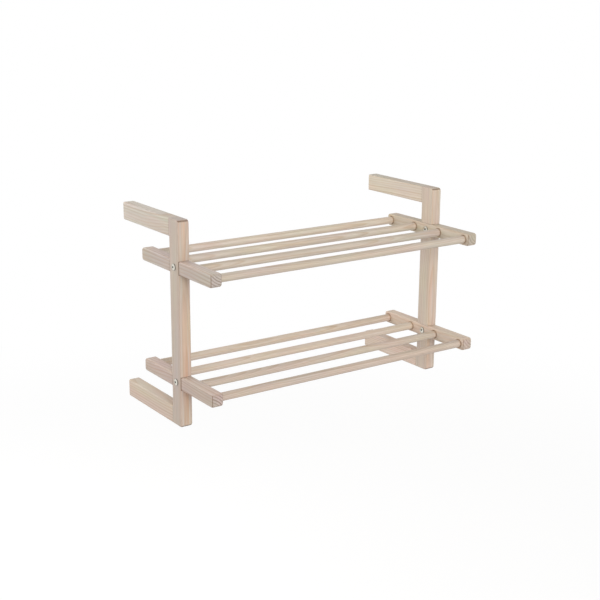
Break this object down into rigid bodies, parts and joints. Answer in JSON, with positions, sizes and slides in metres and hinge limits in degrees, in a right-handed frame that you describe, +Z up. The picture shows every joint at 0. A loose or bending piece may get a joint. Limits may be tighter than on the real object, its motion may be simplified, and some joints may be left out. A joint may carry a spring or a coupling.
{
  "type": "wall-hung shoe rack",
  "caption": "Open wooden shoe rack that hangs on a wall: C-shaped side frames carry shelves of round rods between bolted, lap-jointed side rails.",
  "frame": {"origin": "on the wall plane, midway between the seats of the two keyholes", "axes": "+X to the right along the wall, seen from the room; +Y into the wall; +Z up"},
  "size_m": [0.7058, 0.3658, 0.444],
  "materials": {
    "upright_pine": "white-washed pine, grain upright, matt",
    "arm_pine": "white-washed pine, grain front to back, matt",
    "rail_pine": "white-washed pine, grain front to back, matt",
    "rod_pine": "white-washed pine, grain along the rod, matt",
    "pin_beech": "plain beech",
    "zinc_fastener": "bright zinc plate",
    "hanger_steel": "zinc-plated sheet",
    "hanger_screw": "bright zinc plate"
  },
  "bodies": {
    "root": {"left_upright": "upright_pine", "right_upright": "upright_pine", "left_top_arm": "arm_pine", "left_bottom_arm": "arm_pine", "right_top_arm": "arm_pine", "right_bottom_arm": "arm_pine", "upper_left_rail": "rail_pine", "upper_right_rail": "rail_pine", "lower_left_rail": "rail_pine", "lower_right_rail": "rail_pine", "upper_rod_1": "rod_pine", "upper_rod_2": "rod_pine", "upper_rod_3": "rod_pine", "upper_rod_4": "rod_pine", "lower_rod_1": "rod_pine", "lower_rod_2": "rod_pine", "lower_rod_3": "rod_pine", "lower_rod_4": "rod_pine", "left_top_pin_1": "pin_beech", "left_top_pin_2": "pin_beech", "left_bottom_pin_1": "pin_beech", "left_bottom_pin_2": "pin_beech", "right_top_pin_1": "pin_beech", "right_top_pin_2": "pin_beech", "right_bottom_pin_1": "pin_beech", "right_bottom_pin_2": "pin_beech", "upper_left_connector_bolt": "zinc_fastener", "upper_right_connector_bolt": "zinc_fastener", "lower_left_connector_bolt": "zinc_fastener", "lower_right_connector_bolt": "zinc_fastener", "upper_left_sleeve_nut": "zinc_fastener", "upper_right_sleeve_nut": "zinc_fastener", "lower_left_sleeve_nut": "zinc_fastener", "lower_right_sleeve_nut": "zinc_fastener", "left_keyhole_plate": "hanger_steel", "right_keyhole_plate": "hanger_steel", "left_plate_screw_top": "hanger_screw", "left_plate_screw_bottom": "hanger_screw", "right_plate_screw_top": "hanger_screw", "right_plate_screw_bottom": "hanger_screw"}
  },
  "joints": []
}
